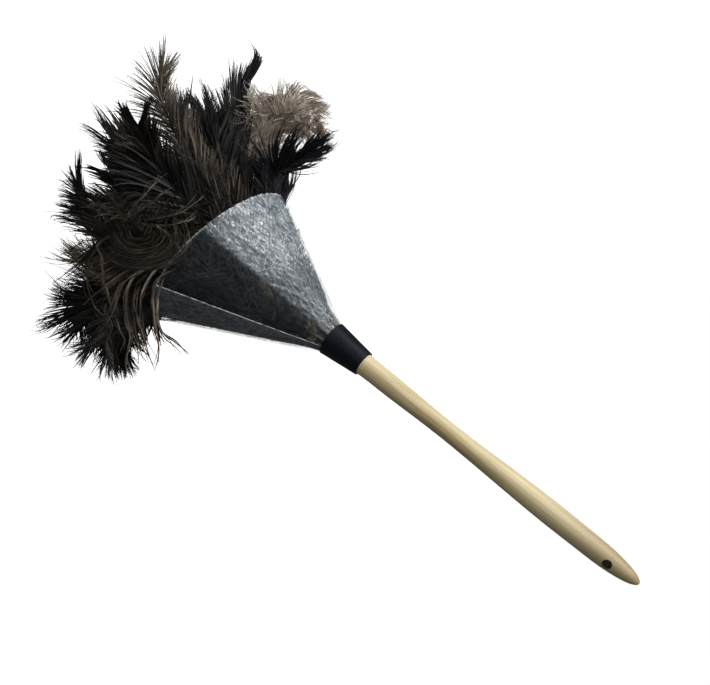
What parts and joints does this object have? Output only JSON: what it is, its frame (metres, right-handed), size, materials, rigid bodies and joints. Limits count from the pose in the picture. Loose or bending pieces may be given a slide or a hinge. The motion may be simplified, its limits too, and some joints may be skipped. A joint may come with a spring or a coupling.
{
  "type": "feather duster",
  "caption": "Ostrich feather duster: turned wooden handle with a hanging hole, black collar, clear rolled film guard and a fan of dark plumes.",
  "frame": {"origin": "centre of the hanging hole, on the handle's axis", "axes": "+Z along the handle towards its butt end, +Y along the hanging hole; the feathers hang along -Z"},
  "size_m": [0.2884, 0.287, 0.5978],
  "materials": {
    "handle_wood": "satin",
    "collar_vinyl": "satin",
    "guard_film": "gloss",
    "binding_twine": "matte",
    "feather_dark": "satin",
    "feather_brown": "satin"
  },
  "bodies": {
    "root": {"handle": "handle_wood", "collar": "collar_vinyl", "guard_sheet": "guard_film", "binding_core": "binding_twine", "binding_inner": "binding_twine", "binding_middle": "binding_twine", "binding_outer": "binding_twine", "feather_core_01": "feather_dark", "feather_core_02": "feather_dark", "feather_core_03": "feather_dark", "feather_core_04": "feather_dark", "feather_core_05": "feather_dark", "feather_inner_01": "feather_brown", "feather_inner_02": "feather_brown", "feather_inner_03": "feather_brown", "feather_inner_04": "feather_brown", "feather_inner_05": "feather_brown", "feather_inner_06": "feather_brown", "feather_inner_07": "feather_brown", "feather_inner_08": "feather_brown", "feather_middle_01": "feather_brown", "feather_middle_02": "feather_brown", "feather_middle_03": "feather_brown", "feather_middle_04": "feather_brown", "feather_middle_05": "feather_brown", "feather_middle_06": "feather_brown", "feather_middle_07": "feather_brown", "feather_middle_08": "feather_brown", "feather_middle_09": "feather_brown", "feather_middle_10": "feather_brown", "feather_outer_01": "feather_dark", "feather_outer_02": "feather_dark", "feather_outer_03": "feather_dark", "feather_outer_04": "feather_dark", "feather_outer_05": "feather_dark", "feather_outer_06": "feather_dark", "feather_outer_07": "feather_dark", "feather_outer_08": "feather_dark", "feather_outer_09": "feather_dark", "feather_outer_10": "feather_dark", "feather_outer_11": "feather_dark", "feather_outer_12": "feather_dark"}
  },
  "joints": []
}
